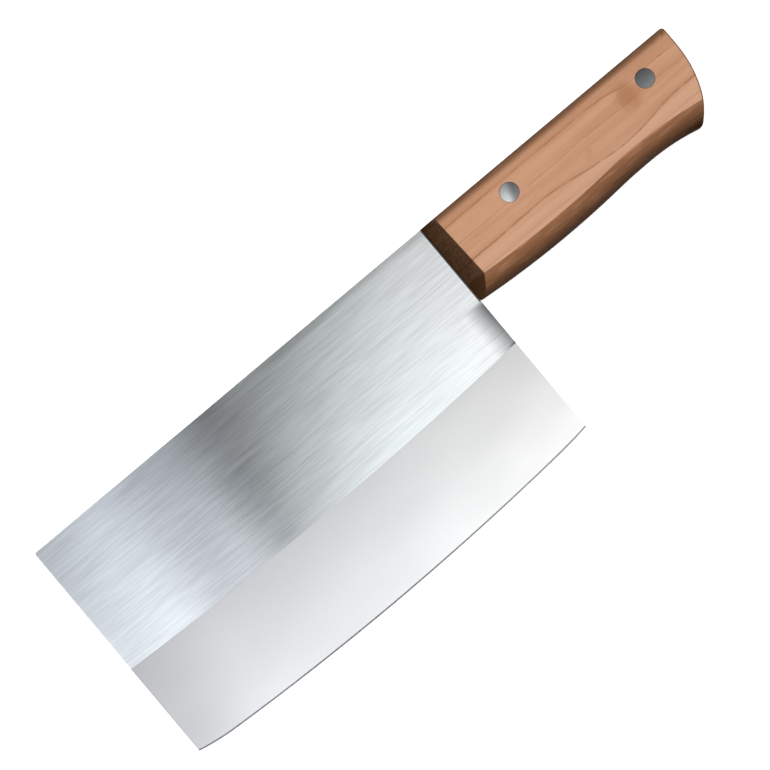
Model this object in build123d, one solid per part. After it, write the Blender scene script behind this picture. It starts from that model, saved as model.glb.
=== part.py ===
from build123d import *
import math
import os

# Chinese cleaver lying on its side, in millimetres.
# X runs from the blade's tip to the handle's butt, Y from the edge to the spine, Z through the thickness.
# Pieces are drawn with the heel line at X = 0, the spine at Y = 0 and the middle of the steel at Z = 0.
# They are then moved together, so that the origin is under the middle of the knife, on what it rests on.

# Blade outline
blade_length = 175.0
blade_height = 93.5
tip_roll_length = 14.8
tip_roll_lift = 2.15
tip_roll_radius = 92.0
heel_roll_length = 14.6
heel_roll_lift = 2.7
heel_roll_radius = 200.0
spine_corner_radius = 0.8

# Blade thickness and grind
blade_thickness = 2.0
spine_easing = 0.25
bevel_width = 39.2
bevel_lift_at_tip = 2.1
bevel_lift_at_heel = 3.0
thickness_behind_edge = 0.36
edge_land = 0.06
hone_angle = 15.0
hone_reach = 1.6

# Finger relief on the heel, from the handle down to the bevel line
relief_width = 4.0
relief_depth = 0.3
relief_top_share = 0.25

# Tang, left as thick as the sheet, with a narrow strip of it in front of the handle
tang_thickness = 2.1
tang_end_wall = 8.8
tang_height = 18.5
tang_end_height = 16.0
tang_root_radius = 2.5
tang_end_radius = 7.0
unground_strip = 0.5

# Handle outline: shares are of its length, drops are below the front end's lower corner
handle_length = 108.6
handle_front_height = 32.4
swell_share = 0.3
swell_drop = 1.9
swell_end_share = 0.565
swell_end_drop = 1.1
waist_share = 0.72
waist_drop = 0.65
hook_set_in = 11.2
hook_drop = 3.3
hook_radius = 3.0
butt_straight = 8.0
butt_knee_set_in = 2.7
butt_knee_rise = 9.2
back_corner_radius = 1.2
front_corner_radius = 0.8

# Handle thickness and bevels
handle_thickness = 20.0
belly_strip = 7.0
belly_bevel_width = 7.5
belly_bevel_tail_fall = 4.2
belly_bevel_radius = 30.0
belly_flat = 3.0
belly_rounding_radius = 4.0
belly_rounding_lean = 8.0
belly_rounding_turn = 20.0
back_bevel_width = 1.9
back_bevel_depth = 3.9
back_bevel_radius = 20.0
bevel_run_on = 2.5
front_bevel_at_back = 6.0
front_bevel_at_belly = 7.05
front_bevel_angle = 50.0
butt_easing = 0.5

# Cutler's rivets
rivet_head_diameter = 7.0
rivet_head_thickness = 1.6
rivet_head_crown = 0.25
rivet_head_sink = 0.05
rivet_sleeve_diameter = 4.8
rivet_shank_diameter = 3.2
rivet_shank_point = 0.5
rivet_sleeve_gap = 0.6
rivet_bore_end_wall = 2.0
rivet_shank_end_gap = 0.8
rivet_drop = 9.9
front_rivet_place = 31.5
rear_rivet_set_in = 16.0

# Clearances
slot_side_clearance = 0.05
slot_end_clearance = 0.4
rivet_hole_clearance = 0.05
rivet_bore_clearance = 0.02
cut_overrun = 5.0


def slab(outline, thickness):
    """The outline made into a plate, with its middle at Z = 0."""
    return extrude(outline, thickness / 2, both=True)


def both_sides(cutter):
    """The cutter and its mirror image on the other side of the steel."""
    return cutter + mirror(cutter, about=Plane.XY)


def edge_curve():
    """The cutting edge: a long arc between two tighter ones, which run past the tip and the heel."""
    tip_root, heel_root = math.sqrt(tip_roll_lift), math.sqrt(heel_roll_lift)
    start = tip_roll_length - blade_length
    span = -heel_roll_length - start
    deepest = start + span * tip_root / (tip_root + heel_root)
    main = ThreePointArc(
        (start, tip_roll_lift - blade_height),
        (deepest, -blade_height),
        (-heel_roll_length, heel_roll_lift - blade_height),
    )
    tip_turn = math.degrees((tip_roll_length + cut_overrun) / tip_roll_radius)
    heel_turn = math.degrees((heel_roll_length + cut_overrun) / heel_roll_radius)
    tip_roll = JernArc(main @ 0, (main % 0) * -1, tip_roll_radius, -tip_turn)
    heel_roll = JernArc(main @ 1, main % 1, heel_roll_radius, heel_turn)
    return tip_roll, main, heel_roll


def blade_outline():
    """The blade's side view: square at tip and heel, straight along the spine, curved along the edge."""
    edge = edge_curve()
    left, right = edge[0] @ 1, edge[-1] @ 1
    over_the_edge = Polyline(right, (right.X, cut_overrun), (left.X, cut_overrun), left)
    above_edge = make_face([*edge, over_the_edge])
    square = Pos(-blade_length / 2, -blade_height / 2) * Rectangle(blade_length, blade_height)
    outline = above_edge & square
    corner = outline.vertices().sort_by(Axis.Y)[-2:].sort_by(Axis.X)[0]
    return fillet(corner, spine_corner_radius)


def eased_plate():
    """The blade as a plate, with its spine and tip edges eased."""
    plate = slab(blade_outline(), blade_thickness)
    faces = plate.faces().filter_by(Axis.Z)
    rim = [
        edge
        for edge in faces.edges()
        if edge.center().Y > -spine_corner_radius or edge.center().X < spine_corner_radius - blade_length
    ]
    return chamfer(rim, spine_easing)


def bevel_line():
    """Where the flat side ends and the ground bevel begins, a little curved like the edge."""
    height = blade_height - bevel_width
    deepest = edge_curve()[1] @ 0.5
    at_tip, at_heel = bevel_lift_at_tip - height, bevel_lift_at_heel - height
    return ThreePointArc((-blade_length, at_tip), (deepest.X, -height), (0, at_heel))


def ground_section():
    """The grind turned about the bevel line's centre: flat down to the line, then an even taper."""
    line = bevel_line()
    centre, radius = line.arc_center, line.radius
    half = blade_thickness / 2
    taper_end = radius + bevel_width * half / (half - thickness_behind_edge / 2)
    back = radius - blade_height
    corners = [(back, half), (radius, half), (taper_end, 0), (radius, -half), (back, -half)]
    section = make_face(Polyline([(centre.X, centre.Y - reach, z) for reach, z in corners], close=True))
    axis = Axis(centre, (0, 0, 1))
    turn = math.degrees(math.asin(blade_length / radius))
    return revolve(section.rotate(axis, -turn), axis, 2 * turn)


def hone_cutter():
    """What the whetstone takes from one side: a wedge carried along the edge."""
    path = Wire(edge_curve())
    along = path % 0
    inward = (Vector(0, 1, 0) - along * along.Y).normalized()
    slope = math.tan(math.radians(hone_angle))
    low, high = edge_land / 2 - hone_reach * slope, edge_land / 2 + hone_reach * slope
    top = blade_thickness / 2
    profile = [(-hone_reach, low), (hone_reach, high), (hone_reach, top), (-hone_reach, top)]
    start = path @ 0
    wedge = make_face(Polyline([start + inward * n + Vector(0, 0, z) for n, z in profile], close=True))
    return sweep(wedge, path)


def relief_cutter():
    """The finger relief on one side: a shallow plane, wider and deeper towards the bevel line."""
    half = blade_thickness / 2
    bevel_start = bevel_lift_at_heel + bevel_width - blade_height

    def section(y, share):
        width, depth = relief_width * share, relief_depth * share
        low = half - depth * (width + cut_overrun) / width
        return make_face(
            Polyline((-width, y, half), (cut_overrun, y, low), (cut_overrun, y, half), close=True)
        )

    return loft([section(-handle_front_height, relief_top_share), section(bevel_start, 1)], ruled=True)


def tang_outline(grow, reach, rise):
    """The tang's side view with its strip: larger by grow below and at the end, higher by rise."""
    end = handle_length - tang_end_wall + grow
    root, tail = tang_height + grow, tang_end_height + grow
    outline = make_face(
        Polyline(
            (-reach, rise),
            (-reach, -handle_front_height),
            (0, -handle_front_height),
            (0, -root),
            (end, -tail),
            (end, rise),
            close=True,
        )
    )
    outline = fillet(outline.vertices().sort_by_distance((end, -tail))[0], tang_end_radius)
    return fillet(outline.vertices().sort_by_distance((0, -root))[0], tang_root_radius)


def rivet_places():
    """The middles of the two rivets."""
    return [Pos(place, -rivet_drop) for place in (front_rivet_place, handle_length - rear_rivet_set_in)]


def rivet_holes():
    """The holes that the rivet sleeves pass through."""
    radius = rivet_sleeve_diameter / 2 + rivet_hole_clearance
    return [place * Cylinder(radius, handle_thickness + cut_overrun) for place in rivet_places()]


def make_blade():
    """The blade and its tang, one piece of sheet steel."""
    blade = eased_plate() & ground_section()
    blade -= both_sides(hone_cutter())
    blade -= both_sides(relief_cutter())
    blade += slab(tang_outline(0, unground_strip, 0), tang_thickness)
    return blade - rivet_holes()


def belly_point(place, drop):
    """A point of the belly, given its drop below the front end's lower corner."""
    return (place, -handle_front_height - drop)


def swell_arc(rise):
    """The belly's front part, higher by rise."""
    return ThreePointArc(
        belly_point(0, -rise),
        belly_point(handle_length * swell_share, swell_drop - rise),
        belly_point(handle_length * swell_end_share, swell_end_drop - rise),
    )


def belly_curves():
    """The belly from the front end to the hook: its swell, its waist and its flare."""
    swell = swell_arc(0)
    waist_point = belly_point(handle_length * waist_share, waist_drop)
    hook_point = belly_point(handle_length - hook_set_in, hook_drop)
    waist = TangentArc(swell @ 1, waist_point, tangent=swell % 1)
    flare = TangentArc(waist @ 1, hook_point, tangent=waist % 1)
    return swell, waist, flare


def rounded_corner(outline, point, radius):
    """The outline with its corner at the point rounded."""
    return fillet(outline.vertices().sort_by_distance(point)[0], radius)


def handle_outline():
    """The handle's side view: straight back, swelling belly, waist, hook and curved butt."""
    belly = belly_curves()
    front_corner, hook_corner = belly[0] @ 0, belly[-1] @ 1
    knee_point = belly_point(handle_length - butt_knee_set_in, -butt_knee_rise)
    knee = TangentArc((handle_length, -butt_straight), knee_point, tangent=(0, -1))
    tail = TangentArc(knee @ 1, hook_corner, tangent=knee % 1)
    back = Polyline(knee @ 0, (handle_length, 0), (0, 0), front_corner)
    outline = make_face([*belly, tail, knee, back])
    outline = rounded_corner(outline, hook_corner, hook_radius)
    outline = rounded_corner(outline, (handle_length, 0), back_corner_radius)
    return rounded_corner(outline, front_corner, front_corner_radius)


def carried_cutter(path, profile):
    """A cutter carried along the path. The profile's X points out of the wood, its Y up from Z = 0."""
    along = path % 0
    plane = Plane(origin=path @ 0, x_dir=(along.Y, -along.X, 0), z_dir=along * -1)
    return sweep(plane * profile, path)


def rounded_slope(width, depth, radius):
    """The section that a side bevel takes away: a slope bulging outwards, past its foot, then level."""
    top = handle_thickness / 2
    half_turn = math.asin(math.hypot(width, depth) / 2 / radius)
    dip = math.atan2(depth, width) - half_turn
    turn = math.degrees(half_turn * 2 + bevel_run_on / radius)
    slope = JernArc((0, top), (math.cos(dip), -math.sin(dip)), radius, -turn)
    foot = slope @ 1
    reach, over = foot.X + cut_overrun, top + cut_overrun
    return make_face([slope, Polyline(foot, (reach, foot.Y), (reach, over), (0, over), slope @ 0)])


def led_on(curves):
    """The curves as one path, led on straight at both ends."""
    first, last = curves[0], curves[-1]
    lead_in = Line(first @ 0 - (first % 0) * cut_overrun, first @ 0)
    lead_out = Line(last @ 1, last @ 1 + (last % 1) * cut_overrun)
    return Wire([lead_in, *curves, lead_out])


def belly_bevel_cutter():
    """The belly's bevel on one side, along its crisp upper edge, which runs straighter than the belly."""
    swell = swell_arc(belly_bevel_width)
    tail_point = belly_point(handle_length, belly_bevel_tail_fall - belly_bevel_width)
    tail = TangentArc(swell @ 1, tail_point, tangent=swell % 1)
    depth = (handle_thickness - belly_strip) / 2
    profile = rounded_slope(belly_bevel_width, depth, belly_bevel_radius)
    return carried_cutter(led_on([swell, tail]), profile)


def belly_rounding_cutter():
    """What rounds the belly on one side, from the flat under it up to its bevel, run out at the hook."""
    lean = math.radians(belly_rounding_lean)
    upwards = Vector(-math.sin(lean), math.cos(lean))
    flat_edge = Vector(0, belly_flat / 2)
    arc = JernArc(flat_edge, upwards, belly_rounding_radius, belly_rounding_turn)
    below = flat_edge - upwards * cut_overrun
    above = arc @ 1 + (arc % 1) * cut_overrun
    outside = Polyline(above, (cut_overrun, above.Y), (cut_overrun, below.Y), below, flat_edge)
    return carried_cutter(led_on(belly_curves()), make_face([arc, Line(arc @ 1, above), outside]))


def back_bevel_cutter():
    """The narrow bevel along the back on one side."""
    path = Line((handle_length + cut_overrun, -back_bevel_width), (-cut_overrun, -back_bevel_width))
    profile = rounded_slope(back_bevel_width, back_bevel_depth, back_bevel_radius)
    return carried_cutter(Wire([path]), profile)


def front_bevel_cutter():
    """The bevel on the front end on one side, a flat cut a little deeper towards the belly."""
    back = Vector(front_bevel_at_back, -back_bevel_width)
    belly = Vector(front_bevel_at_belly, belly_bevel_width - handle_front_height)
    along = (belly - back).normalized()
    start = back - along * (back_bevel_width + cut_overrun)
    path = Line(start, start + along * (handle_front_height + cut_overrun * 3))
    top, over = handle_thickness / 2, handle_thickness / 2 + cut_overrun
    reach = front_bevel_at_belly + cut_overrun
    foot = top - reach * math.tan(math.radians(front_bevel_angle))
    profile = make_face(Polyline((0, top), (reach, foot), (reach, over), (0, over), close=True))
    return carried_cutter(Wire([path]), profile)


def rivet_seats():
    """The round seats that the rivet heads sink into, from both sides."""
    radius = rivet_head_diameter / 2 + rivet_hole_clearance
    depth = rivet_head_sink + rivet_head_thickness + cut_overrun
    middle = handle_thickness / 2 + cut_overrun - depth / 2
    seat = both_sides(Pos(0, 0, middle) * Cylinder(radius, depth))
    return [place * seat for place in rivet_places()]


def upright_faces(shape, direction, least_share):
    """The faces that stand square to the knife's sides and look mostly along the direction."""
    found = []
    for face in shape.faces():
        normal = face.normal_at(face.center())
        if abs(normal.Z) < 0.01 and normal.dot(direction) > least_share:
            found.append(face)
    return found


def butt_rim(block):
    """The edges where the butt's end faces meet the block's sides."""
    butt = upright_faces(block, Vector(1, 0, 0), 0.5)
    return [edge for face in butt for edge in face.edges() if abs((edge % 0.5).Z) < 0.5]


def make_handle():
    """The wooden handle with its bevels, tang slot, rivet holes and rivet seats."""
    block = slab(handle_outline(), handle_thickness)
    handle = fillet(butt_rim(block), butt_easing)
    for cutter in (belly_bevel_cutter(), belly_rounding_cutter(), back_bevel_cutter(), front_bevel_cutter()):
        handle -= both_sides(cutter)
    slot = tang_outline(slot_end_clearance, cut_overrun, cut_overrun)
    handle -= slab(slot, tang_thickness + slot_side_clearance * 2)
    return handle - rivet_holes() - rivet_seats()


def head_outline(radius):
    """Half of a rivet head's section from the axis outwards, with a low crown, down to its underside."""
    crown_top = handle_thickness / 2 - rivet_head_sink
    rim = rivet_head_diameter / 2
    crown_radius = (rim**2 + rivet_head_crown**2) / (rivet_head_crown * 2)
    crown = RadiusArc((0, crown_top), (rim, crown_top - rivet_head_crown), crown_radius)
    underside = crown_top - rivet_head_thickness
    return [crown, Polyline(crown @ 1, (rim, underside), (radius, underside))]


def make_rivet_cap():
    """The rivet's tubular half: a crowned head on top, with a sleeve bored from its open end."""
    sleeve = rivet_sleeve_diameter / 2
    bore = rivet_shank_diameter / 2 + rivet_bore_clearance
    crown_top = handle_thickness / 2 - rivet_head_sink
    open_end = rivet_head_thickness + rivet_sleeve_gap - crown_top
    bore_top = crown_top - rivet_bore_end_wall
    head = head_outline(sleeve)
    tube = Polyline(
        head[-1] @ 1, (sleeve, open_end), (bore, open_end), (bore, bore_top), (0, bore_top), (0, crown_top)
    )
    return revolve(Plane.XZ * make_face([*head, tube]), Axis.Z)


def make_rivet_post():
    """The rivet's solid half: a crowned head underneath, with a pointed shank that fills the sleeve."""
    shank = rivet_shank_diameter / 2
    crown_top = handle_thickness / 2 - rivet_head_sink
    shank_end = rivet_bore_end_wall + rivet_shank_end_gap - crown_top
    head = head_outline(shank)
    pin = Polyline(
        head[-1] @ 1,
        (shank, shank_end + rivet_shank_point),
        (shank - rivet_shank_point, shank_end),
        (0, shank_end),
        (0, crown_top),
    )
    return mirror(revolve(Plane.XZ * make_face([*head, pin]), Axis.Z), about=Plane.XY)


def make_pieces():
    """Every piece by its name, in its place."""
    front, rear = rivet_places()
    pieces = {
        "blade": make_blade(),
        "handle": make_handle(),
        "front_rivet_post": front * make_rivet_post(),
        "front_rivet_cap": front * make_rivet_cap(),
        "rear_rivet_post": rear * make_rivet_post(),
        "rear_rivet_cap": rear * make_rivet_cap(),
    }
    home = Pos((blade_length - handle_length) / 2, blade_height / 2, handle_thickness / 2)
    return {name: home * piece for name, piece in pieces.items()}


os.makedirs("parts", exist_ok=True)
for name, piece in make_pieces().items():
    export_step(piece, f"parts/{name}.step")
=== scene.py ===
import math

import bmesh
import bpy
import numpy as np
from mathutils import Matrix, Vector


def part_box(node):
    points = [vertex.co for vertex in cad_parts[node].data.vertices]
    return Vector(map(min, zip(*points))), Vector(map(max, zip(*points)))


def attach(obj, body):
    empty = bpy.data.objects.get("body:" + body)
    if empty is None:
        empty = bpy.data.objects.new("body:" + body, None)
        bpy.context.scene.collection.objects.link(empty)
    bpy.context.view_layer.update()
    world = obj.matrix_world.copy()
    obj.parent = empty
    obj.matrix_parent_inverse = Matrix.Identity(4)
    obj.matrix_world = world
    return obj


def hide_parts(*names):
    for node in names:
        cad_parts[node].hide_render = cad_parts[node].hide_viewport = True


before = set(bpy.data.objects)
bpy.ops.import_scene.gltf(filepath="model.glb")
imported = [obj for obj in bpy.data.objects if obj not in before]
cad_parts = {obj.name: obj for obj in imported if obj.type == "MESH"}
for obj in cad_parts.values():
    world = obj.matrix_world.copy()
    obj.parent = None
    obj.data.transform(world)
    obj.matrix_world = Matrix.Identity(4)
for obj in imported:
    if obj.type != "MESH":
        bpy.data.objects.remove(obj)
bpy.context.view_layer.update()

# Chinese cleaver on its side. Shapes are worked out in millimetres from the heel line (x), the spine (y)
# and the middle of the steel (z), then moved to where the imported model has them.
handleLow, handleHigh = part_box("handle")
knifeLow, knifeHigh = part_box("blade")
metre = 1000.0                                                  # millimetres in one
home = np.array([handleLow.x, handleHigh.y, (handleLow.z + handleHigh.z) / 2]) * metre
handleLength = (handleHigh.x - handleLow.x) * metre
halfHandle = (handleHigh.z - handleLow.z) / 2 * metre
bladeLength = (handleLow.x - knifeLow.x) * metre
bladeHeight = (knifeHigh.y - knifeLow.y) * metre
tangHalf = (knifeHigh.z - knifeLow.z) / 2 * metre
tangLength = (knifeHigh.x - handleLow.x) * metre
frontHeight = 32.4                                              # of the handle's front end


# circle through three points: its centre is as far from each of them
def circleThrough(first, middle, last):
    a, b, c = np.array(first, float), np.array(middle, float), np.array(last, float)
    sides = np.array([b - a, c - a])
    centre = a + np.linalg.solve(sides, (sides ** 2).sum(1) / 2)
    return centre, np.hypot(*(a - centre))


# circle that leaves a point along a direction and passes another: the centre is on the normal at the first
def circleFrom(point, direction, other):
    p, q = np.array(point, float), np.array(other, float)
    normal = np.array([-direction[1], direction[0]]) / np.hypot(*direction)
    reach = (q - p) @ (q - p) / (2 * (q - p) @ normal)
    return p + normal * reach, abs(reach)


# direction of a circle's tangent at a point, towards growing x
def tangentAt(centre, point):
    radial = np.array(point, float) - centre
    tangent = np.array([-radial[1], radial[0]]) / np.hypot(*radial)
    return tangent * np.sign(tangent[0])


# height of an arc over x: centre plus or minus the root of radius squared less the distance squared
def arcHeight(x, centre, radius, side):
    return centre[1] + side * np.sqrt(np.maximum(radius ** 2 - (x - centre[0]) ** 2, 0))


# the smaller of two heights, with the corner between them rounded over about the softness
def softMin(a, b, softness):
    share = np.clip(0.5 + 0.5 * (b - a) / softness, 0, 1)
    return b + (a - b) * share - softness * share * (1 - share)


# 0 below the low value, 1 above the high one, and an even S curve between them
def ease(value, low, high):
    share = np.clip((value - low) / (high - low), 0, 1)
    return share * share * (3 - 2 * share)


# value part of the way between two ends
def between(ends, share):
    return ends[0] + (ends[1] - ends[0]) * share


# places from 0 to 1 through the given stops, with the given number of equal steps between each two
def steppedPlaces(stops, counts):
    runs = [np.linspace(a, b, n, endpoint=False) for a, b, n in zip(stops, stops[1:], counts)]
    return np.append(np.concatenate(runs), stops[-1])


# drop of a round corner some way into it: the radius less the root of its square less the distance squared
def roundDrop(into, radius):
    into = np.clip(into, 0, radius)
    return radius - np.sqrt(radius ** 2 - into ** 2)


# a new object in the scene
def addObject(name, data):
    thing = bpy.data.objects.new(name, data)
    bpy.context.scene.collection.objects.link(thing)
    return thing


# a piece from faces and points in the shapes' own millimetres
def addPiece(name, points, faces):
    mesh = bpy.data.meshes.new(name)
    mesh.from_pydata(((np.reshape(points, (-1, 3)) + home) / metre).tolist(), [], faces)
    return addObject(name, mesh)


# quads between neighbours in a grid of points, which closes on itself where it has as many steps as points
def gridQuads(rows, columns, rowSteps, columnSteps):
    i, j = np.indices((rowSteps, columnSteps))
    below, beside = (i + 1) % rows, (j + 1) % columns
    corners = [i * columns + j, i * columns + beside, below * columns + beside, below * columns + j]
    return np.stack(corners, -1).reshape(-1, 4).tolist()


# closed skin over rings of points: quads between neighbours, and the first and last ring filled
def skinRings(name, x, y, z):
    rings, around = x.shape
    ends = [list(range(around))[::-1], list(range((rings - 1) * around, rings * around))]
    faces = gridQuads(rings, around, rings - 1, around) + ends
    piece = addPiece(name, np.stack([x, y, z], -1), faces)
    piece.data.validate()
    return piece


# shades a piece smooth but for edges sharper than the angle
def shadeSmooth(piece, sharpDegrees):
    piece.data.polygons.foreach_set("use_smooth", [True] * len(piece.data.polygons))
    piece.data.set_sharp_from_angle(angle=math.radians(sharpDegrees))


# merges doubles, turns every face outwards and shades smooth but for edges sharper than the angle
def tidySkin(piece, sharpDegrees, mergeDistance=2e-6):
    work = bmesh.new()
    work.from_mesh(piece.data)
    bmesh.ops.remove_doubles(work, verts=work.verts, dist=mergeDistance)
    bmesh.ops.dissolve_degenerate(work, edges=work.edges, dist=mergeDistance / 2)
    bmesh.ops.recalc_face_normals(work, faces=work.faces)
    work.to_mesh(piece.data)
    work.free()
    shadeSmooth(piece, sharpDegrees)
    return piece


# the piece's points in the shapes' own millimetres
def localPoints(piece):
    points = np.empty(len(piece.data.vertices) * 3)
    piece.data.vertices.foreach_get("co", points)
    return points.reshape(-1, 3) * metre - home


# middles of the piece's faces in the shapes' own millimetres
def faceMiddles(piece):
    middles = np.empty(len(piece.data.polygons) * 3)
    piece.data.polygons.foreach_get("center", middles)
    return middles.reshape(-1, 3) * metre - home


# stores one number per point for a material to read
def paintNumber(piece, name, values):
    layer = piece.data.attributes.new(name, "FLOAT", "POINT")
    layer.data.foreach_set("value", np.asarray(values, np.float32))


# lays the piece's plan view out as its UV map: u along the knife, v across it, one unit a metre
def plotPlan(piece):
    loops = np.empty(len(piece.data.loops), np.int64)
    piece.data.loops.foreach_get("vertex_index", loops)
    points = localPoints(piece)[loops, :2] / metre
    layer = piece.data.uv_layers.new(name="plan")
    layer.data.foreach_set("uv", points.astype(np.float32).ravel())


print("cleaver: frame loaded")

blade = {
    "tipRoll": (14.8, 2.15),              # length and lift of the edge's tighter curve at the tip
    "heelRoll": (14.6, 2.7),              # the same at the heel
    "rollRadii": (92.0, 200.0),           # of those two curves
    "cornerRadius": 0.8,                  # where the spine meets the tip
    "halfThickness": 1.0,
    "easing": 0.25,                       # on the spine and the tip
    "bevelWidth": 39.2,
    "bevelLifts": (2.1, 3.0),             # how far the bevel line rises at the tip and the heel
    "halfBehindEdge": 0.18,
    "halfLand": 0.03,                     # of the very edge
    "honeWidth": 0.56,
    "honeInset": 0.01,                    # its finish starts this far below its upper edge
    "bevelBulge": 0.05,                   # the ground bevel swells by this half way
    "reliefWidths": (5.0, 8.0),           # finger relief at the handle and at the bevel line
    "reliefDepths": (0.2, 0.35),
    "reliefStart": 2.5,                   # below the handle it reaches its depth over this much
    "shadeLevels": (0.92, 0.67),          # its painted shade at the handle and at the bevel line
    "shadeStart": (-1.0, 1.4),            # below the handle's corner the shade comes on from here to there
    "shadeOverlap": 0.2,                  # of the shade past the bevel line
    "wallRise": 0.5,                      # a face whose normal rises less is on the sheet's own edges
    "tipStations": (0.0, 0.12, 0.25, 0.5, 0.8),           # rings of the mesh in from the tip
    "middleStations": (-173.0, -5.5, 116),                # first and last ring, and their number
    "heelStations": (-5.0, 0.0, 26),
    "flatRows": ((0, 0.55, 0.66, 1), (14, 8, 22)),        # shares across it, and steps between them
    "bevelRows": ((0, 0.04, 0.96, 1), (3, 24, 3)),
}


# the cutting edge: depth below the spine as a long arc, with a tighter arc at each end
def edgeDepth(x):
    (tipLength, tipLift), (heelLength, heelLift) = blade["tipRoll"], blade["heelRoll"]
    tipRoot, heelRoot = math.sqrt(tipLift), math.sqrt(heelLift)
    start, end = tipLength - bladeLength, -heelLength
    deepest = start + (end - start) * tipRoot / (tipRoot + heelRoot)
    first, last = (start, tipLift - bladeHeight), (end, heelLift - bladeHeight)
    centre, radius = circleThrough(first, (deepest, -bladeHeight), last)
    tipRadius, heelRadius = blade["rollRadii"]
    tipCentre = np.array(first) + (centre - np.array(first)) * tipRadius / radius
    heelCentre = np.array(last) + (centre - np.array(last)) * heelRadius / radius
    middle = arcHeight(x, centre, radius, -1)
    tip = arcHeight(x, tipCentre, tipRadius, -1)
    heel = arcHeight(x, heelCentre, heelRadius, -1)
    return np.where(x < start, tip, np.where(x > end, heel, middle))


# the bevel line: an arc through its ends at tip and heel and its deepest point half way
def bevelDepth(x):
    level = blade["bevelWidth"] - bladeHeight
    paintedTipShade, atHeel = blade["bevelLifts"]
    ends = (-bladeLength, level + paintedTipShade), (-bladeLength / 2, level), (0, level + atHeel)
    centre, radius = circleThrough(*ends)
    return arcHeight(x, centre, radius, -1)


# the hone's upper edge
def shoulderDepth(x):
    return edgeDepth(x) + blade["honeWidth"]


# share of the way down from the handle's corner to the bevel line
def belowHandle(x, y):
    return np.clip((-frontHeight - y) / (-frontHeight - bevelDepth(x)), 0, 1)


# half thickness: flat to the bevel line, an even taper with a slight bulge to the hone, the hone to the land,
# less a hollow that grows from the handle to the bevel line along the heel
def bladeHalf(x, y):
    line, shoulder = bevelDepth(x), shoulderDepth(x)
    full, behind, land = blade["halfThickness"], blade["halfBehindEdge"], blade["halfLand"]
    share = np.clip((line - y) / (line - shoulder), 0, 1)
    taper = between((full, behind), share) + blade["bevelBulge"] * 4 * share * (1 - share)
    hone = between((behind, land), np.clip((shoulder - y) / blade["honeWidth"], 0, 1))
    half = np.where(y > shoulder, taper, hone)
    down = belowHandle(x, y)
    width = between(blade["reliefWidths"], down)
    begun = ease(-frontHeight - y, 0, blade["reliefStart"]) * (y > line)
    depth = between(blade["reliefDepths"], down) * begun
    return half - depth * np.clip((x + width) / width, 0, 1) ** 2


# painted shade in the relief: it grows evenly to the heel line, and weakens a little down to the bevel line
def paintedReliefShade(x, y):
    width = blade["reliefWidths"][1]
    shade = np.clip((x + width) / width, 0, 1) * between(blade["shadeLevels"], belowHandle(x, y))
    return shade * ease(-frontHeight - y, *blade["shadeStart"]) * (y > bevelDepth(x) - blade["shadeOverlap"])


# the blade: at each station a ring from the spine down one side, round the edge and up the other
def makeBlade():
    easing, corner = blade["easing"], blade["cornerRadius"]
    stations = [
        np.array(blade["tipStations"]) - bladeLength,
        np.linspace(*blade["middleStations"]),
        np.linspace(*blade["heelStations"]),
    ]
    x = np.concatenate(stations)[:, None]
    top = -roundDrop(-bladeLength + corner - x, corner)
    line, shoulder, edge = bevelDepth(x), shoulderDepth(x), edgeDepth(x)
    flat = between((top - easing, line), steppedPlaces(*blade["flatRows"]))
    bevel = between((line, shoulder), steppedPlaces(*blade["bevelRows"]))
    y = np.hstack([top, flat, bevel[:, 1:], edge])
    half = bladeHalf(x, y)
    half[:, 0] -= easing                                        # the spine's chamfer
    tipEase = np.clip(easing - (x + bladeLength), 0, easing)    # and the tip's
    half = np.maximum(half - tipEase, blade["halfLand"])
    ring = np.hstack([y, y[:, ::-1]])
    sides = np.hstack([half, -half[:, ::-1]])
    piece = skinRings("cleaverBlade", np.broadcast_to(x, ring.shape), ring, sides)
    tidySkin(piece, sharpDegrees=12)
    plotPlan(piece)
    x, y, z = localPoints(piece).T
    # the number "relief" is the painted shade in the heel's relief
    paintNumber(piece, "relief", paintedReliefShade(x, y))
    return piece


tang = {
    "frontStrip": 0.5,        # of it shows in front of the handle
    "height": 18.5,
    "endHeight": 16.0,
    "rootRadius": 2.5,
    "endRadius": 7.0,
    "clearance": 0.05,        # to each side of its slot
    "endClearance": 0.4,
    "slotOverrun": 5.0,       # of the slot's cutter, past the handle's front and back
    "straightInset": 8.0,     # the even rings of the mesh stay this far off both ends
    "rings": (14, 40),        # round each curve, and between the curves
}


# the tang's lower outline: down to the handle's corner in front, a rounded root, a slow taper, a rounded end
def tangDepth(x, grow):
    slope = (tang["height"] - tang["endHeight"]) / tangLength
    run = -(tang["height"] + grow) + slope * np.clip(x, 0, None)
    end = tangLength + grow
    root = roundDrop(tang["rootRadius"] - x, tang["rootRadius"])
    tip = roundDrop(x - end + tang["endRadius"], tang["endRadius"])
    return np.where(x < 0, -frontHeight, run - root + tip)


# the tang, or with a clearance the shape of its slot: rectangular rings along the handle
def makeTang(name, half, grow, front, rise):
    end = tangLength + grow
    curveRings, evenRings = tang["rings"]
    curve = 1 - np.cos(np.linspace(0, math.pi / 2, curveRings))
    root = tang["rootRadius"] * curve
    even = np.linspace(tang["straightInset"], end - tang["straightInset"], evenRings)
    tip = end - tang["endRadius"] * curve[::-1]
    x = np.concatenate([[front, 0.0], root, even, tip])[:, None]
    inFront = (np.arange(len(x)) < 2)[:, None]
    low = tangDepth(x - 1e-9 * inFront, grow)                   # the first two are as high as the handle
    high = np.full_like(x, rise)
    y = np.hstack([high, low, low, high])
    z = np.hstack([np.full_like(x, half)] * 2 + [np.full_like(x, -half)] * 2)
    piece = skinRings(name, np.broadcast_to(x, y.shape), y, z)
    return tidySkin(piece, sharpDegrees=20)


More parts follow.
